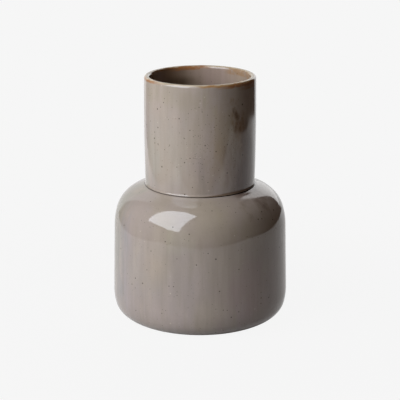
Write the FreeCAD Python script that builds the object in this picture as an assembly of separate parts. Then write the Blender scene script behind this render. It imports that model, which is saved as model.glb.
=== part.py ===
import FreeCAD
import Part

# A glazed stoneware bottle vase: a round-shouldered belly with a wide, straight neck.
# Everything is turned about +Z. The origin is the centre of the foot's resting plane, in millimetres.
# Each piece is a section drawn in radius and height, then revolved. The fired layers share one outline,
# the same arcs set in by the glaze, by the clay wall and by the inner glaze, so neighbours meet face to face.

import math
import os

# Overall sizes
overall_height = 252.0
belly_diameter = 180.0
wall_height = 67.4
wall_lean_deg = 1.4

# Neck, measured over its glaze: it swells a little halfway and opens a little at the lip
neck_diameter = 112.2
neck_flare = 0.2
neck_bow = 0.6
neck_foot_rounding = 2.5

# Heel of the belly, from the flat base up to the wall
heel_under_radius = 26.6
heel_turn_radius = 16.5
heel_turn_deg = 45.4
heel_ease_radius = 56.5
heel_ease_deg = 14.7

# Shoulder of the belly, from the wall up to the neck
shoulder_ease_radius = 69.3
shoulder_ease_deg = 15.0
shoulder_turn_radius = 31.7
shoulder_turn_deg = 49.2
shoulder_crown_radius = 110.5

# Clay walls and glaze coats
belly_wall = 5.0
neck_wall = 4.4
outer_glaze = 0.7
inner_glaze = 0.5
rim_glaze = 0.35
rim_band_height = 4.5

# Foot ring turned under the base
foot_height = 1.5
foot_setback = 2.2
foot_width = 8.0
foot_chamfer = 0.6
glaze_stop = 3.0

# Luted joint between neck and belly
tenon_thickness = 2.0
slip_thickness = 0.5
slip_bead = 0.9

# Places worked out from the sizes above
belly_radius = belly_diameter / 2
neck_radius = neck_diameter / 2
clay_bore_radius = neck_radius - outer_glaze - neck_wall
mouth_radius = clay_bore_radius - inner_glaze
tenon_radius = clay_bore_radius + tenon_thickness
opening_radius = tenon_radius + slip_thickness
bead_radius = opening_radius + slip_bead
clay_inset = outer_glaze
hollow_inset = clay_inset + belly_wall
lining_inset = hollow_inset + inner_glaze
rim_band_bottom = overall_height - rim_band_height


def point(radius, height):
    """A point of the section plane, which holds the axis and +X."""
    return FreeCAD.Vector(radius, 0, height)


def line(start, end):
    """A straight edge of a section."""
    return Part.LineSegment(start, end).toShape()


def turned_arc(start, heading, radius, turn):
    """An arc that turns left from a start and a heading, with the point and heading it ends at."""
    centre = start + point(-math.sin(heading), math.cos(heading)) * radius

    def at(angle):
        return centre + point(math.sin(heading + angle), -math.cos(heading + angle)) * radius

    end = at(turn)
    return Part.Arc(start, at(turn / 2), end).toShape(), end, heading + turn


def region(edges):
    """A flat face bounded by edges that follow each other round."""
    return Part.Face(Part.Wire(edges))


def polygon(corners):
    """A flat face with straight sides."""
    return region([line(a, b) for a, b in zip(corners, corners[1:] + corners[:1])])


def rectangle(inner, outer, low, high):
    """A face between two radii and two heights."""
    return polygon([point(inner, low), point(outer, low), point(outer, high), point(inner, high)])


def faces_of(shape):
    """A boolean's result as plain faces, merged where they lie together."""
    return Part.makeCompound(shape.removeSplitter().Faces)


def joined(first, *others):
    """Faces added together."""
    for other in others:
        first = faces_of(first.fuse(other))
    return first


def without(first, *others):
    """A face less others."""
    for other in others:
        first = faces_of(first.cut(other))
    return first


def within(first, other):
    """What two faces share."""
    return faces_of(first.common(other))


def revolved(section):
    """The solid that a section makes when it goes round the axis."""
    axis_point = point(0, 0)
    axis = FreeCAD.Vector(0, 0, 1)
    solids = [face.revolve(axis_point, axis, 360) for face in section.Faces]
    return solids[0] if len(solids) == 1 else Part.makeCompound(solids)


def heel_arcs():
    """Radius and turn of the heel's three arcs, from the flat base up to the leaning wall."""
    ease = math.radians(heel_ease_deg)
    turn = math.radians(heel_turn_deg)
    under = math.radians(90 + wall_lean_deg) - ease - turn
    return [(heel_under_radius, under), (heel_turn_radius, turn), (heel_ease_radius, ease)]


def base_flat_radius():
    """Radius where the flat base ends, so that the widest place has the belly's diameter."""
    reach = 0
    heading = 0
    widest = 0
    for radius, turn in heel_arcs():
        if heading + turn > math.pi / 2:
            widest = reach + radius * (1 - math.sin(heading))
        reach += radius * (math.sin(heading + turn) - math.sin(heading))
        heading += turn
    return belly_radius - widest


def belly_outline(inset):
    """The belly's outline from its flat base to the top of its crown, set in by a thickness."""
    spot = point(base_flat_radius(), foot_height + inset)
    edges = [line(point(0, spot.z), spot)]
    heading = 0
    for radius, turn in heel_arcs():
        edge, spot, heading = turned_arc(spot, heading, radius - inset, turn)
        edges.append(edge)
    wall_top = spot + point(math.cos(heading), math.sin(heading)) * (wall_height / math.sin(heading))
    edges.append(line(spot, wall_top))
    spot = wall_top
    ease = math.radians(shoulder_ease_deg)
    turn = math.radians(shoulder_turn_deg)
    crown = math.pi - heading - ease - turn
    shoulder = [(shoulder_ease_radius, ease), (shoulder_turn_radius, turn), (shoulder_crown_radius, crown)]
    for radius, turn in shoulder:
        edge, spot, heading = turned_arc(spot, heading, radius - inset, turn)
        edges.append(edge)
    return edges, spot


def belly_region(inset):
    """Everything inside the belly's outline at an inset, closed along the axis."""
    edges, top = belly_outline(inset)
    top_centre = point(0, top.z)
    return region(edges + [line(top, top_centre), line(top_centre, point(0, foot_height + inset))])


def shoulder_height(inset, radius):
    """Height of the shoulder at a radius, for an outline at an inset."""
    plumb = line(point(radius, foot_height + wall_height), point(radius, 2 * overall_height))
    return max(spot.Z for spot in belly_region(inset).common(plumb).Vertexes)


def build():
    """Every piece of the vase, by name."""
    step_height = shoulder_height(clay_inset, opening_radius) + slip_thickness
    above = 2 * overall_height
    waist = foot_height + wall_height

    # Hollows: the raw clay's inside, and what stays open once it is glazed
    belly_hollow = belly_region(hollow_inset)
    clay_hollow = joined(belly_hollow, rectangle(0, clay_bore_radius, waist, above))
    open_hollow = joined(belly_region(lining_inset), rectangle(0, mouth_radius, waist, above))

    # Neck: its clay with the tenon below it, and the same shape with the glaze on
    neck_clay = neck_section(step_height, outer_glaze, inner_glaze, rim_glaze)
    neck_coated = neck_section(step_height, 0, 0, 0)
    tenon = rectangle(clay_bore_radius, tenon_radius, waist, step_height)
    neck = without(joined(neck_clay, tenon), belly_hollow)

    # Belly: the clay shell, open at the throat, with its foot ring
    throat = rectangle(0, opening_radius, waist, above)
    belly = joined(without(belly_region(clay_inset), clay_hollow, throat), foot_section())

    # Slip: what fills the gap round the tenon and under the neck's rounded foot
    slip_room = rectangle(tenon_radius, bead_radius, waist, step_height + slip_thickness)
    slip = without(slip_room, neck, belly, belly_hollow)

    # Glaze: one coat outside each clay piece, a thin band over the lip and one coat inside
    bare_foot = rectangle(0, base_flat_radius() + glaze_stop, 0, waist / 2)
    under_neck = rectangle(0, bead_radius, waist, above)
    belly_coat = without(belly_region(0), belly_region(clay_inset), bare_foot, under_neck, neck, slip)
    band_room = rectangle(0, neck_diameter, rim_band_bottom, above)
    bore_room = rectangle(0, clay_bore_radius, 0, above)
    neck_coat = without(neck_coated, neck, slip, belly_region(0), bore_room, band_room)
    rim_coat = within(without(neck_coated, neck), band_room)
    lining = without(clay_hollow, open_hollow, band_room)

    sections = {
        "belly": belly,
        "neck": neck,
        "joint_slip": slip,
        "belly_glaze": belly_coat,
        "neck_glaze": neck_coat,
        "rim_glaze": rim_coat,
        "inner_glaze": lining,
    }
    return {name: revolved(section) for name, section in sections.items()}


def neck_section(step_height, outside, inside, top):
    """The neck's wall from its rounded foot to its round lip, set in on three sides."""
    rounding = neck_foot_rounding - outside
    foot_radius = neck_radius - outside
    lip_outer = neck_radius + neck_flare - outside
    bore = mouth_radius + inside
    lip_radius = (lip_outer - bore) / 2
    lip_height = overall_height - top - lip_radius
    wall_start = step_height + neck_foot_rounding - outer_glaze
    middle = (wall_start + lip_height) / 2
    bowed = (foot_radius + lip_outer) / 2 + neck_bow
    low = wall_start - rounding
    foot_arc, wall_foot, _ = turned_arc(point(foot_radius - rounding, low), 0, rounding, math.pi / 2)
    lip_start = point(lip_outer, lip_height)
    wall = Part.Arc(wall_foot, point(bowed, middle), lip_start).toShape()
    lip, lip_end, _ = turned_arc(lip_start, math.pi / 2, lip_radius, math.pi)
    inner_foot = point(bore, low)
    underside = line(inner_foot, point(foot_radius - rounding, low))
    return region([foot_arc, wall, lip, line(lip_end, inner_foot), underside])


def foot_section():
    """The ring that the vase stands on, up into the clay of the base."""
    outer = base_flat_radius() - foot_setback
    inner = outer - foot_width
    top = foot_height + clay_inset + belly_wall / 2
    return polygon([
        point(inner + foot_chamfer, 0),
        point(outer - foot_chamfer, 0),
        point(outer, foot_chamfer),
        point(outer, top),
        point(inner, top),
        point(inner, foot_chamfer),
    ])


os.makedirs("parts", exist_ok=True)
for name, solid in build().items():
    print(name, "solids", len(solid.Solids), "valid", solid.isValid(), "volume", round(solid.Volume, 1),
          "box", [round(v, 2) for v in (solid.BoundBox.XMax, solid.BoundBox.ZMin, solid.BoundBox.ZMax)])
    solid.exportStep(os.path.join("parts", name + ".step"))
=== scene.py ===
"""The looks of a glazed stoneware bottle vase, round its packed construction.

Sizes are millimetres and angles are degrees unless a name says otherwise. An azimuth is measured round the
vase from the side that the camera sees, and grows towards the right. A ramp is written as the two limits of a
value, followed by what it gives at each of them where that isn't 0 and 1.
"""

import math

import bpy
import numpy as np
from mathutils import Matrix, Vector


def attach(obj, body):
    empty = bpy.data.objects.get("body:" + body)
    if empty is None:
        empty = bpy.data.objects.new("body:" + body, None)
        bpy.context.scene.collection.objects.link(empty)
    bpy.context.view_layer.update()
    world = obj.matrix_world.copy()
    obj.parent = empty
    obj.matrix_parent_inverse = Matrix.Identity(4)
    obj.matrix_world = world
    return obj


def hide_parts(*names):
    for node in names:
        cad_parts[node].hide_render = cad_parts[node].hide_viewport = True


MM = 0.001


def linear(red, green, blue):
    """A colour as a screen shows it, from 0 to 255, as the shader's value on the standard sRGB curve."""
    parts = [v / 255 for v in (red, green, blue)]
    return tuple(v / 12.92 if v <= 0.04045 else ((v + 0.055) / 1.055) ** 2.4 for v in parts) + (1.0,)


# Outline of the vase, over its glaze. An arc is its radius and how far it turns
OVERALL_HEIGHT = 252.0
BELLY_RADIUS = 90.0
WALL_HEIGHT = 67.4
WALL_LEAN = 1.4
HEEL_ARCS = ((26.6, 31.3), (16.5, 45.4), (56.5, 14.7))
SHOULDER_ARCS = ((69.3, 15.0), (31.7, 49.2))
CROWN_RADIUS = 110.5
NECK_RADIUS = 56.1
NECK_FLARE = 0.2
NECK_BOW = 0.6
MOUTH_RADIUS = 50.5
FOOT_HEIGHT = 1.5
GLAZE_STOP = 3.0
RIM_BAND_HEIGHT = 4.5
RIM_BAND_BOTTOM = OVERALL_HEIGHT - RIM_BAND_HEIGHT
BELOW_BAND = 1.0

# Coats and walls, the bite of a coat's back into the clay behind it, and how far an edge is rounded off
OUTER_COAT = 0.7
INNER_COAT = 0.5
BELLY_WALL = 5.0
TENON_THICKNESS = 2.0
SLIP_THICKNESS = 0.5
SLIP_BEAD = 0.9
BITE = 0.12
EDGE_ROUND = 1.1

# The neck's foot: a soft flare of glaze over a small round edge, as arcs and runs from the crease up
FLARE_LIFT = 0.7
FLARE_REACH = -0.05
FLARE_MOVES = ((0.6, 118.0), (None, 0.5), (-3.0, -28.0))

# The pool of the belly's glaze round the neck's foot: its rise, and how far past the neck's radius it starts
# and is full
POOL_RISE = 0.45
POOL_REACH = 6.0
POOL_FULL = 1.0

# Hand-turned unevenness: depths of its slow swell, throwing rings and ripple, the height that each of their
# two waves takes for a radian, and where the swell's three waves and the rings' wander start
SWELL_DEPTH = 0.05
SWELL_RISES = (61.0, 47.0)
SECOND_SWELL = 0.7
RING_DEPTH = 0.012
RING_RISES = (4.1, 17.0)
RING_WANDER = 0.6
RIPPLE_DEPTH = 0.014
RIPPLE_RISES = (23.0, 13.0)
RIPPLES_ROUND = 9
WAVE_STARTS_RADIANS = (0.8, 0.4, -1.9, 0.5)

# Fineness of the meshes: spacing of the points outside, inside and at a hidden back, how many times closer
# they lie at the neck's foot and over the lip, and how many go round
STEP = 1.2
INNER_STEP = 2.0
BACK_STEP = 6.0
FOOT_FINER = 5
LIP_FINER = 4
SECTORS = 384

# Halvings that find where a path crosses a border, the angle from which an edge is sharp, and the radius
# below which a point counts as on the axis
HALVINGS = 30
SHARP_ANGLE = 50.0
ON_AXIS = 1e-6

# The photograph's camera, as focal length in pixels, place and tilt
IMAGE_WIDTH = 400
SENSOR_WIDTH = 36.0
FOCAL_PIXELS = 1294.0
CAMERA_DISTANCE = 1277.8
CAMERA_HEIGHT = 496.25
CAMERA_TILT = 16.37
CAMERA_SHIFT = (-0.0002, 0.00125)

# Tones of the glaze
ROSY = linear(156, 146, 145)
OLIVE = linear(157, 148, 138)
STREAK = linear(138, 129, 121)
CLOUD = linear(171, 161, 152)
# Cream over the lip's top: a paler glaze there, with a painted highlight where the round top catches light
LIP_CREAM_AND_HIGHLIGHT = linear(196, 182, 152)
PALE = linear(192, 183, 168)
GOLD = linear(150, 113, 66)
RUSSET = linear(150, 102, 60)
DATE = linear(104, 70, 40)
TOFFEE = linear(146, 114, 78)
BLOOM = linear(118, 88, 48)
BLOOM_DARK = linear(88, 62, 34)
IRON = linear(58, 46, 36)
BREAK = linear(92, 72, 48)
# Painted shade in the neck's crease, over the dark glaze pooled there
CREASE_POOL_AND_SHADE = linear(26, 21, 16)

# Tints, which multiply the glaze's tone
VIOLET = (1.01, 0.965, 1.02, 1.0)
SAGE = (0.99, 1.0, 0.95, 1.0)
TAN = (1.05, 1.03, 1.0, 1.0)
MAUVE = (1.03, 0.95, 1.04, 1.0)
STRAW = (1.02, 1.01, 0.92, 1.0)
# Painted shade on the neck's right, away from the lamp, over a browner glaze
RIGHT_NECK_BROWN_AND_SHADE = (0.6, 0.54, 0.52, 1.0)
AMBER = (1.0, 0.87, 0.72, 1.0)
LILAC = (0.99, 1.01, 1.08, 1.0)
HUSK = (0.96, 0.975, 0.9, 1.0)
MIST = (1.03, 1.07, 1.08, 1.0)
DIM = (0.965, 0.98, 0.975, 1.0)
SLATE = (0.85, 0.92, 0.92, 1.0)
MOSS = (1.06, 1.09, 1.03, 1.0)
WARM = (1.02, 0.99, 0.93, 1.0)
COOL = (1.015, 1.045, 1.065, 1.0)
# Painted shade, which darkens the low neck down to its foot
SHADE = (0.86, 0.86, 0.86, 1.0)
SHOULDER_TINT = (0.955, 0.965, 0.93, 1.0)
INSIDE_TINT = (0.86, 0.79, 0.73, 1.0)
# Painted shade over a browner glaze, deep in the bore, on its left and low down
INSIDE_DEEP_BROWN_AND_SHADE = (0.4, 0.28, 0.17, 1.0)
INSIDE_LOW_BROWN_AND_SHADE = (0.4, 0.37, 0.3, 1.0)

# Noises, each as the share of the height that it sees, the size of its lumps, its detail and its roughness.
# A small share of the height draws it out into upright streaks
DRIFT = (0.6, 55.0, 2.0, 0.45)
RUNS = (0.12, 8.0, 2.0, 0.5)
THREADS = (0.05, 3.4, 2.0, 0.55)
CLOUDS = (0.35, 14.0, 3.0, 0.55)
GRAIN = (1.0, 2.2, 2.0, 0.6)
LIP_EDGE = (0.3, 9.0, 2.0, 0.6)
LIP_PATCHES = (1.0, 4.0, 2.0, 0.5)
BLOOM_CLOUDS = (1.0, 8.0, 2.0, 0.6)
BLOOM_RUNS = (0.22, 2.6, 3.0, 0.6)
BLOOM_KNOTS = (0.5, 3.6, 4.0, 0.7)
WIDE_CLOUDS = (1.0, 16.0, 3.0, 0.6)
GLOSS_CLOUDS = (1.0, 18.0, 3.0, 0.6)
FINE_RELIEF = (1.0, 1.6, 2.0, 0.5)
WIDE_RELIEF = (1.0, 11.0, 1.0, 0.5)
GRIT = (1.0, 0.9, 2.0, 0.7)

# The glaze's body: ramps of the height where the neck and the shoulder start, the mix of its two greys, the
# layers over them as noise, ramp, tone and how much is left on the shoulder, and the painted shade on the low
# neck
NECK_START = (138.0, 144.0)
SHOULDER_START = (92.0, 128.0)
GREY_MIX = (0.38, 0.62, 0.12, 0.88)
BODY_LAYERS = (
    (RUNS, (0.34, 0.74, 0.04, 0.4), STREAK, 0.25),
    (THREADS, (0.45, 0.8, 0.0, 0.34), STREAK, 0.25),
    (CLOUDS, (0.42, 0.75, 0.0, 0.26), CLOUD, 0.25),
    (GRAIN, (0.4, 0.8, 0.0, 0.14), STREAK, 1.0),
)
NECK_FOOT_SHADE = (142.0, 165.0, 0.85, 0.0)
NECK_PALER = 0.1

# Patches of the glaze: azimuth and height of the middle, half the width in degrees and half the height, and
# tint. They fade over a ramp of the share of the way to their border, and a noise makes the border ragged
TINTED_PATCHES = (
    ((50.0, 40.0), (45.0, 65.0), MAUVE),
    ((-32.0, 195.0), (32.0, 55.0), COOL),
    ((55.0, 160.0), (30.0, 30.0), VIOLET),
    ((3.0, 220.0), (18.0, 26.0), SAGE),
    ((16.0, 185.0), (10.0, 30.0), WARM),
    ((-32.0, 76.0), (16.0, 22.0), TAN),
    # Painted shade on the front of the low neck
    ((1.0, 158.0), (6.0, 30.0), SHADE),
    ((50.0, 118.0), (40.0, 30.0), SAGE),
    ((26.0, 190.0), (24.0, 60.0), STRAW),
    # Painted shade on the right of the neck, over a browner glaze
    ((56.0, 171.0), (32.0, 58.0), RIGHT_NECK_BROWN_AND_SHADE),
    ((47.5, 192.0), (13.0, 34.0), AMBER),
    ((-22.0, 240.0), (60.0, 20.0), HUSK),
    ((-52.0, 70.0), (30.0, 55.0), LILAC),
    ((-58.0, 195.0), (24.0, 55.0), MIST),
    ((-12.0, 66.0), (24.0, 60.0), DIM),
    ((-82.0, 80.0), (30.0, 110.0), SLATE),
    ((-14.0, 104.0), (14.0, 18.0), MOSS),
)
PATCH_FADE = (0.2, 1.0, 1.0, 0.0)
PATCH_RAGGED = 1.8

# The bloom: two patches that lean with the same slant, and ramps of the noises that break them up
BLOOM_WIDE = ((42.5, 208.0), (11.5, 32.0))
BLOOM_KNOT = ((38.5, 221.0), (4.5, 10.0))
BLOOM_SLANT = 0.35
BLOOM_COVER = (0.35, 0.65, 0.18, 0.5)
BLOOM_DARK_COVER = (0.48, 0.64, 0.0, 0.42)
BLOOM_KNOT_COVER = 0.7

# The bore: how far past its wall a point still counts as inside and first counts as outside, and where the
# bore is deep, left and low, where painted shade darkens it over a browner glaze
INSIDE_MARGIN = 1.0
OUTSIDE_MARGIN = 2.0
INSIDE_DEPTH = (238.0, 205.0)
INSIDE_CLOUDS = (0.35, 0.6, 0.3, 1.0)
INSIDE_DEEP_COVER = 0.5
INSIDE_LEFT = (-154.0, -60.0, 24.0)
INSIDE_LOW_HEIGHTS = (244.0, 236.0, 0.0, 0.75)
INSIDE_LOW_EAST = (-22.0, 12.0, 1.0, 0.0)

# Random specks, in the order that they are laid: cell of the grid, radius, share of the cells that hold one,
# how many more do where they gather, where that is, tone, cover, and where on the vase they are. Each has a
# radius between two shares of the given one, and an edge that fades over a ramp of the distance to it
SPECKS = (
    (2.1, 0.34, 0.03, 0.4, "cluster", PALE, 0.55, "outside"),
    (1.7, 0.34, 0.08, 0.4, "cluster", IRON, 0.7, "everywhere"),
    (4.2, 0.7, 0.05, 0.08, "neck", PALE, 0.45, "outside"),
    (3.8, 0.66, 0.1, 0.05, "neck", IRON, 0.75, "everywhere"),
)
SPECK_CLUSTER = ((14.0, 192.0), (55.0, 50.0))
SPECK_SMALLEST = 0.5
SPECK_SPREAD = 0.8
SPECK_EDGE = (-0.12, 0.2)

# Bold specks: a random few as cell, radius and share, and those at places of their own as azimuth, height and
# radius, with the shares of the radius between which their edge fades. Each is a small pit in the glaze
BOLD_RANDOM = (9.0, 0.8, 0.03)
BOLD_SPECKS = (
    (47.0, 230.0, 0.9), (-21.0, 219.0, 0.7), (30.0, 221.0, 0.7), (-10.0, 180.0, 0.6), (5.0, 193.0, 0.7),
    (14.0, 211.0, 0.5), (-38.0, 186.0, 0.5), (49.0, 125.0, 0.8), (63.0, 122.0, 0.9), (-7.0, 112.0, 0.7),
    (60.0, 105.0, 0.9), (-33.0, 91.0, 0.6), (10.0, 87.0, 0.9), (-17.0, 58.0, 0.6), (-20.0, 58.0, 0.6),
    (-1.0, 231.0, 0.5), (-38.0, 237.0, 0.5), (-39.0, 233.0, 0.6), (-43.0, 228.0, 0.5), (-32.0, 244.0, 0.4),
    (-11.5, 224.5, 0.4), (2.0, 226.5, 0.5), (-10.0, 208.0, 0.6), (-16.0, 200.0, 0.5), (-33.0, 217.0, 0.4),
    (10.0, 187.0, 0.4), (25.0, 190.5, 0.5), (11.0, 206.5, 0.4), (19.0, 167.5, 0.5), (-19.0, 179.5, 0.4),
    (36.0, 196.0, 0.4),
)
BOLD_EDGE = (0.5, 1.25)
BOLD_COVER = 0.85
BOLD_PIT = 0.8

# Bands below the lip's edges: side, azimuths with their softness, depths with the share that the thinnest
# places keep, tone and cover. A noise lets the depths wander up and down
LIP_BANDS = (
    ("outer", (-85.0, -50.0, 12.0), (0.5, 2.8, 0.5), RUSSET, 0.8),
    ("outer", (0.0, 115.0, 5.0), (0.3, 2.2, 0.8), GOLD, 0.9),
    ("outer", (24.0, 115.0, 12.0), (1.3, 4.2, 0.7), RUSSET, 0.9),
    ("outer", (50.0, 115.0, 14.0), (1.6, 8.0, 0.6), RUSSET, 0.85),
    ("inner", (-172.0, -95.0, 7.0), (0.4, 2.6, 0.1), DATE, 0.9),
    ("inner", (-200.0, -146.0, 10.0), (0.3, 4.2, 0.5), RUSSET, 0.8),
    ("inner", (170.0, 200.0, 6.0), (0.3, 2.8, 0.5), RUSSET, 0.8),
    ("inner", (96.0, 146.0, 6.0), (0.7, 7.0, 0.1), TOFFEE, 0.6),
)
BAND_TOP_SOFT = 0.4
BAND_BOTTOM_SOFT = 0.8
BAND_PATCHES = (0.3, 0.55)
LIP_WANDER = 3.0
# The cream over the lip's top, part painted highlight, as a ramp of the depth below the top
CREAM_COVER = (0.6, 1.8, 0.55, 0.0)

# The foot of the neck: the brown above the crease and the dark in it, glaze pooled there under painted shade
# that is darker on the right, as ramps of the azimuth, of the height above the crease, of that height's share
# of the reach, and of the distance past the neck
FOOT_MARGIN = 2.0
BREAK_REACH = (0.0, 45.0, 1.2, 4.5)
BREAK_START = (0.0, 0.4)
BREAK_FADE = (0.5, 1.0, 1.0, 0.0)
BREAK_COVER = (-10.0, 12.0, 0.1, 0.7)
CREASE_REACH = (10.0, 55.0, 0.35, 1.1)
CREASE_FADE = (0.0, 1.0, 1.0, 0.0)
CREASE_EDGE = (0.6, 1.2, 1.0, 0.0)
CREASE_COVER = (-40.0, 50.0, 0.6, 1.0)

# The glaze's finish: a ramp from noise to roughness, and its relief
GLOSS = (0.3, 0.7, 0.045, 0.085)
WIDE_RELIEF_SHARE = 5.0
GLAZE_RELIEF = 0.02
GLAZE_BUMP = 0.35
GLAZE_IOR = 1.5

# The bare clay: its tones, its grog as cell, radius and share, and the rings left by turning
BUFF = linear(176, 156, 132)
BUFF_DEEP = linear(160, 138, 114)
GRIT_TONE = linear(120, 98, 76)
GROG_TONE = linear(58, 44, 34)
BUFF_MIX = (0.3, 0.7)
GRIT_COVER = (0.45, 0.75, 0.0, 0.4)
GROG = (3.0, 0.45, 0.2)
GROG_COVER = 0.8
TURNING = {"Scale": 90.0, "Distortion": 1.5, "Detail": 1.0}
TURNING_SHARE = 0.5
CLAY_ROUGHNESS = (0.3, 0.7, 0.72, 0.9)
CLAY_RELIEF = 0.15
CLAY_BUMP = 0.6
CLAY_IOR = 1.45
CLAY_SPECULAR = 0.35

# The paper that the vase stands on, with its soft borders. Tones of the studio are linear, and 1 is white
BACKGROUND = linear(246, 246, 246)
PAPER = (0.8, 0.8, 0.8, 1.0)
PAPER_BOUNCE = (0.17, 0.16, 0.15, 1.0)
PAPER_SIDES = (-520.0, 880.0)
PAPER_FRONT = -450.0
PAPER_EDGE_SOFT = 10.0
PAPER_REACH = 985.0
PAPER_REACH_SOFT = 40.0
FLOOR_REACH = 30000.0
FLOOR_DROP = 0.05

# The paper's glow for the camera, and the one that reflections see, by the distance from the vase's axis.
# Far off, the second is dim between two azimuths
SHADOW_GLOW = (120.0, 450.0, 0.98, 1.0)
MIRROR_GLOW = 0.6
MIRROR_GLOW_START = (77.0, 86.0)
MIRROR_GLOW_FAR = 1.1
MIRROR_GLOW_RISE = (450.0, 850.0)
DIM_AZIMUTHS = (60.0, 132.0)
DIM_SOFT_RADIANS = 0.12

# The paper's rise behind the vase. Its angles are measured from straight behind, and grow towards the right.
# Its top is a ramp of how much a direction points up, from 0 to 1
RISE_AZIMUTHS = (-39.0, 33.4)
RISE_SOFT_RADIANS = 0.03
RISE_SLANT = 12.0
RISE_SLANT_RADIANS = (0.0, 0.2)
RISE_TOP = (0.64, 0.8, 1.0, 0.0)
RISE_LIT = (1.8, 1.8, 1.8, 1.0)
RISE_LIT_TURN = (0.0, 18.0)

# The dim room: it darkens between two azimuths and lightens again between two more
ROOM_LEFT = (0.24, 0.2, 0.17, 1.0)
ROOM_RIGHT = (0.07, 0.055, 0.05, 1.0)
ROOM_TURN = (10.0, 80.0)
ROOM_RETURN = (146.0, 178.0)
ROOM_FLOOR = (0.06, 0.06, 0.06, 1.0)
AMBIENT = (0.09, 0.06, 0.04, 1.0)

# Lamps, and the panel that reflections see in place of the first
LAMP_AIM = (0.0, 0.0, 140.0)
KEY_RADIANCE = 5.95
KEY_PLACE = (-925.0, -697.0, 730.0)
KEY_SIZE = (1150.0, 1150.0)
FILL_RADIANCE = 2.6
FILL_PLACE = (260.0, 1250.0, 620.0)
FILL_SIZE = (1000.0, 1000.0)
SOFTBOX_RADIANCE = 6.2
SOFTBOX_TONE = (0.94, 1.0, 1.09, 1.0)
SOFTBOX_PLACE = (-782.0, -652.0, 928.0)
SOFTBOX_AIM = (0.0, 0.0, 120.0)
SOFTBOX_CORNERS = (
    (610, -680), (190, -670), (-610, -330), (-470, 650), (-350, 890), (-50, 980), (460, 840),
)


def turned(start, heading, moves, spacing):
    """Points along a path of arcs (radius, turn in degrees) and straight runs (None, length)."""
    points = [Vector(start)]
    for radius, amount in moves:
        here = points[-1]
        if radius is None:
            count = max(1, round(amount / spacing))
            direction = Vector((math.cos(heading), math.sin(heading)))
            points += [here + direction * amount * k / count for k in range(1, count + 1)]
            continue
        turn = math.radians(amount)
        count = max(2, round(abs(radius * turn) / spacing))
        centre = here + Vector((-math.sin(heading), math.cos(heading))) * radius
        for k in range(1, count + 1):
            angle = heading + turn * k / count
            points.append(centre + Vector((math.sin(angle), -math.cos(angle))) * radius)
        heading += turn
    return points


def flat_radius():
    """Radius where the flat base ends, so that the widest place has the belly's radius."""
    reach = 0.0
    heading = 0.0
    widest = 0.0
    for radius, amount in HEEL_ARCS:
        turn = math.radians(amount)
        if heading + turn > math.pi / 2:
            widest = reach + radius * (1 - math.sin(heading))
        reach += radius * (math.sin(heading + turn) - math.sin(heading))
        heading += turn
    return BELLY_RADIUS - widest


def belly_path(inset, spacing):
    """The belly's outline from the end of its flat base to the top of its crown, set in by a thickness."""
    lean = math.radians(90 + WALL_LEAN)
    turned_so_far = 90 + WALL_LEAN + sum(turn for _, turn in SHOULDER_ARCS)
    moves = [(radius - inset, turn) for radius, turn in HEEL_ARCS]
    moves.append((None, WALL_HEIGHT / math.sin(lean)))
    moves += [(radius - inset, turn) for radius, turn in SHOULDER_ARCS]
    moves.append((CROWN_RADIUS - inset, 180 - turned_so_far))
    return turned((flat_radius(), FOOT_HEIGHT + inset), 0.0, moves, spacing)


def cut_at(path, inside):
    """The stretch of a path for which inside is true, ended where the path crosses the border."""
    kept = []
    for start, end in zip(path, path[1:]):
        first, last = inside(start), inside(end)
        if first:
            kept.append(start)
        if first != last:
            low, high = (start, end) if first else (end, start)
            for _ in range(HALVINGS):
                middle = (low + high) / 2
                low, high = (middle, high) if inside(middle) else (low, middle)
            kept.append(low)
    if inside(path[-1]):
        kept.append(path[-1])
    return kept


def height_on(path, radius):
    """Height of the highest place of a path at a radius."""
    heights = []
    for start, end in zip(path, path[1:]):
        if (start.x - radius) * (end.x - radius) <= 0 and start.x != end.x:
            heights.append(start.y + (end.y - start.y) * (radius - start.x) / (end.x - start.x))
    return max(heights)


def opening_radius():
    """Radius of the belly's opening, round the neck's tenon."""
    return MOUTH_RADIUS + INNER_COAT + TENON_THICKNESS + SLIP_THICKNESS


def neck_foot_height():
    """Height of the underside of the neck's glazed foot."""
    seat = height_on(belly_path(OUTER_COAT, STEP), opening_radius()) + SLIP_THICKNESS
    return seat - OUTER_COAT


def neck_path(spacing):
    """The neck's outline from its flared foot up to the lip's outer side, and over the lip into the bore."""
    start = (NECK_RADIUS + FLARE_REACH, neck_foot_height() + FLARE_LIFT)
    foot = turned(start, 0.0, FLARE_MOVES, spacing / FOOT_FINER)
    lip_radius = (NECK_RADIUS + NECK_FLARE - MOUTH_RADIUS) / 2
    start = foot[-1]
    end = Vector((NECK_RADIUS + NECK_FLARE, OVERALL_HEIGHT - lip_radius))
    count = round((end.y - start.y) / spacing)
    wall = []
    for k in range(1, count + 1):
        share = k / count
        wall.append(start.lerp(end, share) + Vector((NECK_BOW * 4 * share * (1 - share), 0)))
    lip = turned(end, math.radians(90), [(lip_radius, 180)], spacing / LIP_FINER)
    return foot + wall + lip[1:]


def normals_of(path):
    """Outward normals of a path that runs up the outside: to the right of its direction."""
    points = np.array(path)
    along = np.gradient(points, axis=0)
    along /= np.linalg.norm(along, axis=1)[:, None]
    return np.stack([along[:, 1], -along[:, 0]], axis=1)


def lengths_of(path):
    """Distance along a path of each of its points."""
    points = np.array(path)
    return np.concatenate([[0.0], np.cumsum(np.linalg.norm(np.diff(points, axis=0), axis=1))])


def back_of(points, spacing):
    """The fewer points that do for a coat's hidden back, with both ends kept."""
    every = max(1, round(BACK_STEP / spacing))
    return points[sorted(set(range(0, len(points), every)) | {len(points) - 1})]


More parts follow.
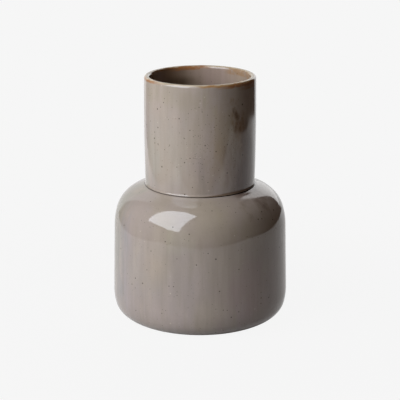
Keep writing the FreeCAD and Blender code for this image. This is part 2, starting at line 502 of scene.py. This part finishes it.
def coat_loop(face, thickness, round_start=False):
    """A closed section: a coat's face, and its back a bite into the clay. Its start may be rounded off."""
    front = np.array(face)
    normals = normals_of(face)
    back = back_of(front - normals * (thickness + BITE), STEP)
    if round_start:
        near = np.clip(1 - lengths_of(face) / EDGE_ROUND, 0, 1)
        dip = thickness * (1 - np.sqrt(1 - near**2))
        front = front - normals * dip[:, None]
    return np.concatenate([front, back[::-1]])


def smooth(share):
    """A share between 0 and 1, eased at both ends."""
    return share * share * (3 - 2 * share)


def unevenness(azimuth, height):
    """How far the hand-turned surface lies inside the true round, at an azimuth in radians."""
    oval, upright, third, ring = WAVE_STARTS_RADIANS
    swell = np.sin(2 * azimuth + oval) * np.cos(height / SWELL_RISES[0] + upright)
    swell = swell + SECOND_SWELL * np.sin(3 * azimuth + third + height / SWELL_RISES[1])
    wander = RING_WANDER * np.sin(azimuth + ring)
    rings = np.sin(height / RING_RISES[0] + wander) * np.sin(height / RING_RISES[1] + azimuth)
    ripple = np.sin(RIPPLES_ROUND * azimuth + height / RIPPLE_RISES[0])
    ripple = ripple * np.sin(height / RIPPLE_RISES[1] - 2 * azimuth)
    return SWELL_DEPTH * (1 + SECOND_SWELL + swell) + RING_DEPTH * rings + RIPPLE_DEPTH * ripple


def placed(name, data):
    """A new object of the scene with the given data."""
    made = bpy.data.objects.new(name, data)
    bpy.context.scene.collection.objects.link(made)
    return made


def revolve(name, section, closed=True):
    """A mesh object made by turning a section about Z. Points on the axis become single vertices."""
    azimuths = np.linspace(0, 2 * np.pi, SECTORS, endpoint=False)
    vertices = []
    rings = []
    for radius, height in np.asarray(section):
        first = len(vertices)
        if radius < ON_AXIS:
            vertices.append((0.0, 0.0, height * MM))
            rings.append([first] * SECTORS)
            continue
        radii = (radius - unevenness(azimuths, height)) * MM
        for r, a in zip(radii, azimuths):
            vertices.append((r * math.sin(a), -r * math.cos(a), height * MM))
        rings.append(list(range(first, first + SECTORS)))
    if closed:
        rings.append(rings[0])
    faces = []
    for low, high in zip(rings, rings[1:]):
        for k in range(SECTORS):
            after = (k + 1) % SECTORS
            corners = [low[k], low[after], high[after], high[k]]
            faces.append(list(dict.fromkeys(corners)))
    mesh = bpy.data.meshes.new(name)
    mesh.from_pydata(vertices, [], faces)
    mesh.validate()
    mesh.shade_smooth()
    mesh.set_sharp_from_angle(angle=math.radians(SHARP_ANGLE))
    return placed(name, mesh)


def flat_piece(name, corners):
    """A mesh object of one flat face."""
    mesh = bpy.data.meshes.new(name)
    mesh.from_pydata(corners, [], [tuple(range(len(corners)))])
    return placed(name, mesh)


def radians(limits):
    """Limits in degrees, as radians."""
    return [math.radians(v) for v in limits]


def metres(limits):
    """Limits in millimetres, as metres."""
    return [v * MM for v in limits]


class Tree:
    """The nodes of a material or a world, with one short call for each kind."""

    def __init__(self, owner, output="OutputMaterial"):
        owner.use_nodes = True
        self.owner = owner
        self.nodes = owner.node_tree.nodes
        self.nodes.clear()
        self.output = self.node(output)

    def join(self, value, socket):
        """Links a socket, or sets a plain value."""
        if isinstance(value, bpy.types.NodeSocket):
            self.owner.node_tree.links.new(value, socket)
        elif value is not None:
            socket.default_value = value

    def finish(self, shader):
        """Ends the tree in a shader and hands back its owner."""
        self.join(shader.outputs[0], self.output.inputs["Surface"])
        return self.owner

    def node(self, kind, inputs=None, **settings):
        """A node of a kind, with its settings and what goes into it."""
        made = self.nodes.new("ShaderNode" + kind)
        for key, value in settings.items():
            setattr(made, key, value)
        for key, value in (inputs or {}).items():
            self.join(value, made.inputs[key])
        return made

    def math(self, operation, a, b=None, c=None):
        """A sum of up to three values."""
        made = self.node("Math", operation=operation)
        for socket, value in zip(made.inputs, (a, b, c)):
            self.join(value, socket)
        return made.outputs[0]

    def times(self, first, *others):
        """Values multiplied together."""
        for other in others:
            first = self.math("MULTIPLY", first, other)
        return first

    def rest(self, share):
        """What a share leaves of 1."""
        return self.math("SUBTRACT", 1.0, share)

    def length(self, a, b):
        """Length of a line that goes a one way and b the other."""
        return self.math("SQRT", self.math("ADD", self.times(a, a), self.times(b, b)))

    def azimuth(self, east, north):
        """Azimuth of a place or a direction, in radians."""
        return self.math("ARCTAN2", east, self.times(north, -1.0))

    def ramp(self, value, low, high, to_low=0.0, to_high=1.0):
        """A smooth step of a value between two limits."""
        inputs = {"Value": value, "From Min": low, "From Max": high, "To Min": to_low, "To Max": to_high}
        return self.node("MapRange", inputs, interpolation_type="SMOOTHSTEP").outputs["Result"]

    def border(self, value, place, soft, before=0.0, after=1.0):
        """A smooth step of a value that is halfway at a place, and soft to both sides of it."""
        return self.ramp(value, place - soft, place + soft, before, after)

    def within(self, value, low, high, soft):
        """1 where a value lies between two limits, with soft borders."""
        return self.times(self.border(value, low, soft), self.border(value, high, soft, 1.0, 0.0))

    def mix(self, factor, a, b, blend="MIX"):
        """Two colours mixed. The node's colours are its inputs 6 and 7 and its output 2."""
        made = self.node("Mix", {0: factor, 6: a, 7: b}, data_type="RGBA", blend_type=blend)
        return made.outputs[2]


class Spot:
    """Where a point of a piece lies, as sockets: height, radius and distance east, and azimuth in degrees."""

    def __init__(self, tree):
        self.tree = tree
        self.place = tree.node("TexCoord").outputs["Object"]
        east, north, up = tree.node("SeparateXYZ", {"Vector": self.place}).outputs
        self.height = tree.math("DIVIDE", up, MM)
        self.east = tree.math("DIVIDE", east, MM)
        self.radius = tree.math("DIVIDE", tree.length(east, north), MM)
        self.azimuth = tree.math("DEGREES", tree.azimuth(east, north))

    def noise(self, upright, size, detail, roughness):
        """Noise with lumps of about a size, drawn out upright where it sees less than the whole height."""
        seen = self.tree.node("Mapping", {"Vector": self.place, "Scale": (1.0, 1.0, upright)})
        made = self.tree.node("TexNoise", {
            "Vector": seen.outputs[0],
            "Scale": 1 / (size * MM),
            "Detail": detail,
            "Roughness": roughness,
        })
        return made.outputs[0]

    def patch(self, centre, reach, ragged=None, slant=0.0):
        """1 in the middle of an oval patch, given by azimuth and height, and 0 outside its soft border.

        A noise makes it ragged. A slant leans it right on its way down, in degrees for each millimetre.
        """
        tree = self.tree
        middle = tree.math("MULTIPLY_ADD", self.height, -slant, centre[0] + slant * centre[1])
        across = tree.math("DIVIDE", tree.math("SUBTRACT", self.azimuth, middle), reach[0])
        upward = tree.math("DIVIDE", tree.math("SUBTRACT", self.height, centre[1]), reach[1])
        off = tree.length(across, upward)
        if ragged is not None:
            off = tree.math("ADD", off, tree.math("MULTIPLY_ADD", ragged, PATCH_RAGGED, -PATCH_RAGGED / 2))
        return tree.ramp(off, *PATCH_FADE)

    def sector(self, low, high, soft):
        """1 between two azimuths, with soft ends."""
        return self.tree.within(self.azimuth, low, high, soft)


def specks(spot, cell, radius, share):
    """Round specks, one in some of the cells of a random grid: 1 in a speck and 0 outside."""
    tree = spot.tree
    grid = tree.node("TexVoronoi", {"Vector": spot.place, "Scale": 1 / (cell * MM), "Randomness": 1.0})
    apart = tree.times(grid.outputs["Distance"], cell)
    chance, scatter, _ = tree.node("SeparateColor", {"Color": grid.outputs["Color"]}).outputs
    size = tree.math("MULTIPLY_ADD", scatter, radius * SPECK_SPREAD, radius * SPECK_SMALLEST)
    inside = tree.ramp(tree.math("SUBTRACT", size, apart), *SPECK_EDGE)
    return tree.times(inside, tree.math("LESS_THAN", chance, share))


def surface_point(azimuth, height):
    """A place on the outside of the vase, in metres."""
    path = neck_path(STEP) if height > neck_foot_height() else belly_path(0.0, STEP)
    rising = [p for p in path if p.x > NECK_RADIUS - OUTER_COAT]
    radius = np.interp(height, [p.y for p in rising], [p.x for p in rising])
    angle = math.radians(azimuth)
    return Vector((radius * math.sin(angle), -radius * math.cos(angle), height)) * MM


def chosen_specks(spot):
    """The bold specks that catch the eye, each at its own place."""
    tree = spot.tree
    marks = 0.0
    for azimuth, height, radius in BOLD_SPECKS:
        centre = surface_point(azimuth, height)
        apart = tree.node("VectorMath", {0: spot.place, 1: centre}, operation="DISTANCE").outputs["Value"]
        edge = metres(radius * share for share in BOLD_EDGE)
        marks = tree.math("MAXIMUM", tree.ramp(apart, *edge, 1.0, 0.0), marks)
    return marks


def glaze_body(spot, on_neck):
    """The glaze: drifts of a rosy and an olive grey, soft streaks that ran down, patches, and painted shade
    on the low neck.
    """
    tree = spot.tree
    on_shoulder = tree.math("SUBTRACT", tree.ramp(spot.height, *SHOULDER_START), on_neck)
    on_shoulder = tree.math("MAXIMUM", on_shoulder, 0.0)
    body = tree.mix(tree.ramp(spot.noise(*DRIFT), *GREY_MIX), ROSY, OLIVE)
    for noise, cover, tone, left in BODY_LAYERS:
        fainter = tree.math("MULTIPLY_ADD", on_shoulder, left - 1.0, 1.0)
        body = tree.mix(tree.times(fainter, tree.ramp(spot.noise(*noise), *cover)), body, tone)
    clouds = spot.noise(*CLOUDS)
    for centre, reach, tint in TINTED_PATCHES:
        body = tree.mix(spot.patch(centre, reach, clouds), body, tint, "MULTIPLY")
    # Painted shade over the low neck, darkest at its foot
    low_neck_shade = tree.times(on_neck, tree.ramp(spot.height, *NECK_FOOT_SHADE))
    body = tree.mix(low_neck_shade, body, SHADE, "MULTIPLY")
    body = tree.mix(on_shoulder, body, SHOULDER_TINT, "MULTIPLY")
    paler = tree.math("MULTIPLY_ADD", on_neck, NECK_PALER, 1.0)
    return tree.node("VectorMath", {0: body, "Scale": paler}, operation="SCALE").outputs[0]


def inside_tone(spot, body):
    """The bore's glaze: browner, and darker and browner deep down, on the left and low down, under painted
    shade.
    """
    tree = spot.tree
    inside = tree.math("LESS_THAN", spot.radius, MOUTH_RADIUS + INSIDE_MARGIN)
    body = tree.mix(inside, body, INSIDE_TINT, "MULTIPLY")
    clouds = tree.ramp(spot.noise(*WIDE_CLOUDS), *INSIDE_CLOUDS)
    # Painted shade deep in the bore and on its left wall, which faces away from the lamp
    deep = tree.times(tree.ramp(spot.height, *INSIDE_DEPTH), clouds, INSIDE_DEEP_COVER)
    deep = tree.times(inside, tree.math("MAXIMUM", deep, spot.sector(*INSIDE_LEFT)))
    body = tree.mix(deep, body, INSIDE_DEEP_BROWN_AND_SHADE, "MULTIPLY")
    # Painted shade low in the bore, on its left half
    low = tree.times(inside, tree.ramp(spot.height, *INSIDE_LOW_HEIGHTS))
    low = tree.times(low, tree.ramp(spot.east, *INSIDE_LOW_EAST))
    return tree.mix(low, body, INSIDE_LOW_BROWN_AND_SHADE, "MULTIPLY")


def bloom(spot, body):
    """A streaky brown bloom on the upper right of the neck, with a dark knot in it."""
    tree = spot.tree
    wide = spot.patch(*BLOOM_WIDE, spot.noise(*BLOOM_CLOUDS), BLOOM_SLANT)
    streaks = tree.ramp(spot.noise(*BLOOM_RUNS), *BLOOM_COVER)
    body = tree.mix(tree.times(wide, streaks), body, BLOOM)
    knots = spot.noise(*BLOOM_KNOTS)
    dark = tree.times(wide, tree.ramp(knots, *BLOOM_DARK_COVER))
    knot = tree.times(spot.patch(*BLOOM_KNOT, knots, BLOOM_SLANT), BLOOM_KNOT_COVER)
    return tree.mix(tree.math("MAXIMUM", dark, knot), body, BLOOM_DARK)


def speckled(spot, body, bold, on_neck, outside):
    """The glaze with its random specks of iron and pale grains, and the bold specks over them."""
    tree = spot.tree
    gathered = {"neck": on_neck, "cluster": spot.patch(*SPECK_CLUSTER)}
    areas = {"outside": outside, "everywhere": 1.0}
    for cell, radius, share, more, gather, tone, cover, area in SPECKS:
        held = tree.math("MULTIPLY_ADD", gathered[gather], more, share)
        marks = tree.times(specks(spot, cell, radius, held), areas[area], cover)
        body = tree.mix(marks, body, tone)
    return tree.mix(tree.times(bold, BOLD_COVER), body, IRON)


def lip_brown(spot, body):
    """Cream over the top of the lip, part painted highlight, a golden line along its edge, and brown where
    the glaze ran thin.
    """
    tree = spot.tree
    loose = tree.math("MULTIPLY_ADD", spot.noise(*LIP_EDGE), LIP_WANDER, -LIP_WANDER / 2)
    below = tree.math("ADD", tree.math("SUBTRACT", OVERALL_HEIGHT, spot.height), loose)
    outer = tree.math("GREATER_THAN", spot.radius, (MOUTH_RADIUS + NECK_RADIUS) / 2)
    sides = {"outer": outer, "inner": tree.rest(outer)}
    patches = spot.noise(*LIP_PATCHES)
    # Painted highlight over the lip's round top, on a paler glaze there
    body = tree.mix(tree.ramp(below, *CREAM_COVER), body, LIP_CREAM_AND_HIGHLIGHT)
    for side, azimuths, (top, bottom, least), tone, cover in LIP_BANDS:
        shown = tree.times(sides[side], spot.sector(*azimuths))
        started = tree.border(below, top, BAND_TOP_SOFT)
        depth = tree.times(started, tree.border(below, bottom, BAND_BOTTOM_SOFT, cover, 0.0))
        patchy = tree.ramp(patches, *BAND_PATCHES, least, 1.0)
        body = tree.mix(tree.times(shown, depth, patchy), body, tone)
    return body


def foot_break_and_crease_shade(spot, body, outside):
    """Glaze pooled in the neck's crease under painted shade, and broken brown above the crease on the right.
    """
    tree = spot.tree
    above = tree.math("SUBTRACT", spot.height, neck_foot_height() + FLARE_LIFT)
    past_neck = tree.math("SUBTRACT", spot.radius, NECK_RADIUS)
    near = tree.times(outside, tree.math("LESS_THAN", past_neck, FOOT_MARGIN))
    reached = tree.math("DIVIDE", above, tree.ramp(spot.azimuth, *BREAK_REACH))
    broken = tree.times(tree.ramp(above, *BREAK_START), tree.ramp(reached, *BREAK_FADE))
    broken = tree.times(broken, tree.ramp(spot.azimuth, *BREAK_COVER), near)
    body = tree.mix(broken, body, BREAK)
    # Painted shade in the crease, over the glaze pooled there, stronger towards the right
    reached = tree.math("DIVIDE", above, tree.ramp(spot.azimuth, *CREASE_REACH))
    pooled_glaze_and_shade = tree.times(near, tree.ramp(reached, *CREASE_FADE))
    pooled_glaze_and_shade = tree.times(pooled_glaze_and_shade, tree.ramp(past_neck, *CREASE_EDGE), tree.ramp(spot.azimuth, *CREASE_COVER))
    return tree.mix(pooled_glaze_and_shade, body, CREASE_POOL_AND_SHADE)


def make_glaze():
    """The glossy reactive glaze: warm grey, streaked and speckled, breaking to brown over the lip."""
    tree = Tree(bpy.data.materials.new("reactive_glaze"))
    spot = Spot(tree)
    on_neck = tree.ramp(spot.height, *NECK_START)
    outside = tree.math("GREATER_THAN", spot.radius, MOUTH_RADIUS + OUTSIDE_MARGIN)
    bold = tree.math("MAXIMUM", chosen_specks(spot), specks(spot, *BOLD_RANDOM))

    body = inside_tone(spot, glaze_body(spot, on_neck))
    body = tree.mix(outside, body, bloom(spot, body))
    body = speckled(spot, body, bold, on_neck, outside)
    body = lip_brown(spot, body)
    body = foot_break_and_crease_shade(spot, body, outside)

    relief = tree.math("MULTIPLY_ADD", spot.noise(*WIDE_RELIEF), WIDE_RELIEF_SHARE, spot.noise(*FINE_RELIEF))
    relief = tree.math("SUBTRACT", relief, tree.times(bold, BOLD_PIT))
    bump = tree.node("Bump", {"Strength": GLAZE_BUMP, "Distance": GLAZE_RELIEF * MM, "Height": relief})
    shader = tree.node("BsdfPrincipled", {
        "Base Color": body,
        "Roughness": tree.ramp(spot.noise(*GLOSS_CLOUDS), *GLOSS),
        "IOR": GLAZE_IOR,
        "Normal": bump.outputs[0],
    })
    return tree.finish(shader)


def make_clay():
    """Bare fired stoneware: buff, gritty and matt, with the rings left by turning."""
    tree = Tree(bpy.data.materials.new("stoneware"))
    spot = Spot(tree)
    grit = spot.noise(*GRIT)
    body = tree.mix(tree.ramp(spot.noise(*WIDE_CLOUDS), *BUFF_MIX), BUFF, BUFF_DEEP)
    body = tree.mix(tree.ramp(grit, *GRIT_COVER), body, GRIT_TONE)
    body = tree.mix(tree.times(specks(spot, *GROG), GROG_COVER), body, GROG_TONE)
    inputs = {"Vector": spot.place, **TURNING}
    rings = tree.node("TexWave", inputs, wave_type="RINGS", rings_direction="Z").outputs[1]
    relief = tree.math("MULTIPLY_ADD", rings, TURNING_SHARE, grit)
    bump = tree.node("Bump", {"Strength": CLAY_BUMP, "Distance": CLAY_RELIEF * MM, "Height": relief})
    shader = tree.node("BsdfPrincipled", {
        "Base Color": body,
        "Roughness": tree.ramp(grit, *CLAY_ROUGHNESS),
        "IOR": CLAY_IOR,
        "Specular IOR Level": CLAY_SPECULAR,
        "Normal": bump.outputs[0],
    })
    return tree.finish(shader)


def wear(piece, material):
    """Gives every slot of a piece one material."""
    if not piece.material_slots:
        piece.data.materials.append(material)
    for slot in piece.material_slots:
        slot.link = "OBJECT"
        slot.material = material


def coat(name, node, section, material, closed=True):
    """A glaze coat that stands for a CAD coat of the same place."""
    piece = revolve(name, section, closed)
    wear(piece, material)
    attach(piece, "root")
    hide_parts(node)
    return piece


def make_belly_coat(material):
    """The belly's coat, from its rounded edge round the foot to the crease under the neck."""
    start = flat_radius() + GLAZE_STOP
    bead = opening_radius() + SLIP_BEAD
    face = cut_at(belly_path(0.0, STEP), lambda p: p.x > start if p.y < WALL_HEIGHT else p.x > bead)
    top = face[-1].y
    for p in face:
        if p.y > WALL_HEIGHT:
            share = min(1.0, max(0.0, (NECK_RADIUS + POOL_REACH - p.x) / (POOL_REACH - POOL_FULL)))
            p.y = min(top, p.y + POOL_RISE * smooth(share))
    section = coat_loop(face, OUTER_COAT, round_start=True)
    return coat("glazed_belly", "belly_glaze", section, material)


def make_neck_coat(material):
    """The neck's coat, from the crease up to the brown band."""
    clay = NECK_RADIUS - OUTER_COAT
    face = cut_at(neck_path(STEP), lambda p: p.y < RIM_BAND_BOTTOM and p.x > clay)
    section = [*face, Vector((clay - BITE, RIM_BAND_BOTTOM)), Vector((clay - BITE, neck_foot_height()))]
    return coat("glazed_neck", "neck_glaze", section, material)


def make_rim_coat(material):
    """The thin coat over the lip."""
    path = neck_path(STEP)
    path.append(Vector((path[-1].x, RIM_BAND_BOTTOM - BELOW_BAND)))
    face = cut_at(path, lambda p: p.y > RIM_BAND_BOTTOM)
    return coat("glazed_rim", "rim_glaze", coat_loop(face, INNER_COAT), material)


def make_inner_coat(material):
    """The liner coat, from the lip down the bore and round the hollow to the middle of the base."""
    depth = OUTER_COAT + BELLY_WALL + INNER_COAT
    hollow = cut_at(belly_path(depth, INNER_STEP), lambda p: p.x > MOUTH_RADIUS or p.y < WALL_HEIGHT)
    low = hollow[-1].y
    rise = RIM_BAND_BOTTOM - low
    count = round(rise / INNER_STEP)
    bore = [Vector((MOUTH_RADIUS, low + rise * k / count)) for k in range(1, count + 1)]
    base = Vector((0.0, FOOT_HEIGHT + depth))
    count = round(hollow[0].x / INNER_STEP)
    floor = [base.lerp(hollow[0], k / count) for k in range(count)]
    face = floor + hollow + bore
    points = np.array(face)
    back = back_of(points + normals_of(face) * (INNER_COAT + BITE), INNER_STEP)
    back[0] = (0.0, base.y - INNER_COAT - BITE)
    section = np.concatenate([points, back[::-1]])
    return coat("glazed_inside", "inner_glaze", section, material, closed=False)


def background_rays(tree):
    """1 for the camera's rays, and 1 for mirrored ones with those through glass. Both see the background."""
    seen = tree.node("LightPath")
    mirrored = tree.math("MAXIMUM", seen.outputs["Is Glossy Ray"], seen.outputs["Is Transmission Ray"])
    return seen.outputs["Is Camera Ray"], mirrored


def room_tone(tree, east, north):
    """What lies beyond the paper in a direction: a dim warm room, nearly black on the right."""
    azimuth = tree.azimuth(east, north)
    rightward = tree.ramp(azimuth, *radians(ROOM_TURN))
    returned = tree.ramp(azimuth, *radians(ROOM_RETURN), 1.0, 0.0)
    return tree.mix(tree.times(rightward, returned), ROOM_LEFT, ROOM_RIGHT)


def paper_cover(tree, east, north, away):
    """1 where the floor is paper: a sheet with a rounded far edge, and its rise behind the vase."""
    sheet = tree.within(east, *metres(PAPER_SIDES), PAPER_EDGE_SOFT * MM)
    sheet = tree.times(sheet, tree.border(north, *metres((PAPER_FRONT, PAPER_EDGE_SOFT))))
    sheet = tree.times(sheet, tree.border(away, *metres((PAPER_REACH, PAPER_REACH_SOFT)), 1.0, 0.0))
    behind = tree.math("ARCTAN2", east, north)
    rise = tree.within(behind, *radians(RISE_AZIMUTHS), RISE_SOFT_RADIANS)
    return tree.math("MAXIMUM", sheet, rise)


def mirrored_glow(tree, paper, east, north, away):
    """How brightly reflections see the floor: dark under the vase, lit round it, and brighter far off."""
    near = tree.ramp(away, *metres(MIRROR_GLOW_START), -1.0, MIRROR_GLOW - 1.0)
    rising = tree.ramp(away, *metres(MIRROR_GLOW_RISE), 0.0, MIRROR_GLOW_FAR - MIRROR_GLOW)
    dim = tree.within(tree.azimuth(east, north), *radians(DIM_AZIMUTHS), DIM_SOFT_RADIANS)
    lit = tree.math("ADD", near, tree.times(rising, tree.rest(dim)))
    return tree.math("MULTIPLY_ADD", paper, lit, 1.0)


def make_floor():
    """A white paper floor that glows for the camera and keeps the vase's soft shadow."""
    sides = ((-1, -1), (1, -1), (1, 1), (-1, 1))
    corners = [Vector((x * FLOOR_REACH, y * FLOOR_REACH, -FLOOR_DROP)) * MM for x, y in sides]
    floor = flat_piece("floor", corners)
    tree = Tree(bpy.data.materials.new("paper"))
    place = tree.node("TexCoord").outputs["Object"]
    east, north, _ = tree.node("SeparateXYZ", {"Vector": place}).outputs
    away = tree.node("VectorMath", {0: place}, operation="LENGTH").outputs["Value"]
    paper = paper_cover(tree, east, north, away)
    camera, mirrored = background_rays(tree)
    beyond = tree.times(mirrored, tree.rest(paper))
    shown = tree.mix(beyond, BACKGROUND, room_tone(tree, east, north))
    start, end, under, open_floor = SHADOW_GLOW
    glow = tree.times(camera, tree.ramp(away, *metres((start, end)), under, open_floor))
    glow = tree.math("MULTIPLY_ADD", mirrored, mirrored_glow(tree, paper, east, north, away), glow)
    plain = tree.math("MAXIMUM", camera, mirrored)
    bounce = tree.mix(tree.times(paper, tree.rest(plain)), ROOM_FLOOR, PAPER_BOUNCE)
    matt = tree.node("BsdfDiffuse", {"Color": tree.mix(plain, bounce, PAPER)})
    white = tree.node("Emission", {"Color": shown, "Strength": 1.0})
    wear(floor, tree.finish(tree.node("MixShader", {0: glow, 1: matt.outputs[0], 2: white.outputs[0]})))


def make_world():
    """White for the camera; in reflections the paper's rise behind the vase, with the dim room round it."""
    world = bpy.data.worlds.new("studio")
    bpy.context.scene.world = world
    tree = Tree(world, "OutputWorld")
    direction = tree.node("TexCoord").outputs["Generated"]
    east, north, up = tree.node("SeparateXYZ", {"Vector": direction}).outputs
    behind = tree.math("ARCTAN2", east, north)
    lean = tree.times(up, math.radians(RISE_SLANT))
    slanted = tree.math("MULTIPLY_ADD", tree.ramp(behind, *RISE_SLANT_RADIANS), lean, behind)
    rise = tree.within(slanted, *radians(RISE_AZIMUTHS), RISE_SOFT_RADIANS)
    rise = tree.times(rise, tree.ramp(up, *RISE_TOP))
    camera, mirrored = background_rays(tree)
    plain = tree.math("MAXIMUM", camera, mirrored)
    beyond = tree.times(mirrored, tree.rest(rise))
    lit = tree.times(mirrored, tree.ramp(behind, *radians(RISE_LIT_TURN)))
    paper = tree.mix(lit, BACKGROUND, RISE_LIT)
    shown = tree.node("Background", {"Color": tree.mix(beyond, paper, room_tone(tree, east, north))})
    faint = tree.node("Background", {"Color": AMBIENT})
    tree.finish(tree.node("MixShader", {0: plain, 1: faint.outputs[0], 2: shown.outputs[0]}))


def facing(place, aim):
    """A frame at a place whose back is turned to the aim's far side, with its sides level."""
    back = (Vector(place) - Vector(aim)).normalized()
    side = Vector((0, 0, 1)).cross(back).normalized()
    turn = Matrix((side, back.cross(side), back)).transposed().to_4x4()
    return Matrix.Translation(Vector(place) * MM) @ turn


def make_softbox():
    """The lamp's lit face as reflections see it: a flat panel with its corners cut."""
    turn = facing(SOFTBOX_PLACE, SOFTBOX_AIM)
    panel = flat_piece("softbox", [turn @ Vector((x * MM, y * MM, 0)) for x, y in SOFTBOX_CORNERS])
    tree = Tree(bpy.data.materials.new("softbox_face"))
    wear(panel, tree.finish(tree.node("Emission", {"Color": SOFTBOX_TONE, "Strength": SOFTBOX_RADIANCE})))
    panel.visible_camera = False
    panel.visible_diffuse = False
    panel.visible_shadow = False


def make_lamp(name, radiance, place, aim, size):
    """A big soft lamp. Reflections show its panel or the room in its place."""
    data = bpy.data.lights.new(name, "AREA")
    data.shape = "RECTANGLE"
    data.size, data.size_y = metres(size)
    data.energy = radiance * math.pi * data.size * data.size_y
    lamp = placed(name, data)
    lamp.matrix_world = facing(place, aim)
    lamp.visible_glossy = False


def make_camera():
    """The camera that took the photograph."""
    data = bpy.data.cameras.new("camera")
    data.sensor_width = SENSOR_WIDTH
    data.lens = SENSOR_WIDTH * FOCAL_PIXELS / IMAGE_WIDTH
    data.shift_x, data.shift_y = CAMERA_SHIFT
    camera = placed("camera", data)
    camera.location = (0, -CAMERA_DISTANCE * MM, CAMERA_HEIGHT * MM)
    camera.rotation_euler = (math.radians(90 - CAMERA_TILT), 0, 0)
    bpy.context.scene.camera = camera


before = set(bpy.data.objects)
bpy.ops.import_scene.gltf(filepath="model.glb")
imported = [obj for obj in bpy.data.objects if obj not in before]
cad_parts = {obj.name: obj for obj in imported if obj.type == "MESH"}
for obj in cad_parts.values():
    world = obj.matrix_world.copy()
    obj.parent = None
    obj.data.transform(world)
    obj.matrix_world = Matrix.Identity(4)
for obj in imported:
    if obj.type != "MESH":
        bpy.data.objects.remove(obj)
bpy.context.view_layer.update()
bpy.context.scene.view_settings.view_transform = "Standard"

glaze = make_glaze()
clay = make_clay()
make_belly_coat(glaze)
make_neck_coat(glaze)
make_rim_coat(glaze)
make_inner_coat(glaze)
for name in ("belly", "neck", "joint_slip"):
    wear(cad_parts[name], clay)

make_floor()
make_world()
make_lamp("key", KEY_RADIANCE, KEY_PLACE, LAMP_AIM, KEY_SIZE)
make_lamp("back_fill", FILL_RADIANCE, FILL_PLACE, LAMP_AIM, FILL_SIZE)
make_softbox()
make_camera()
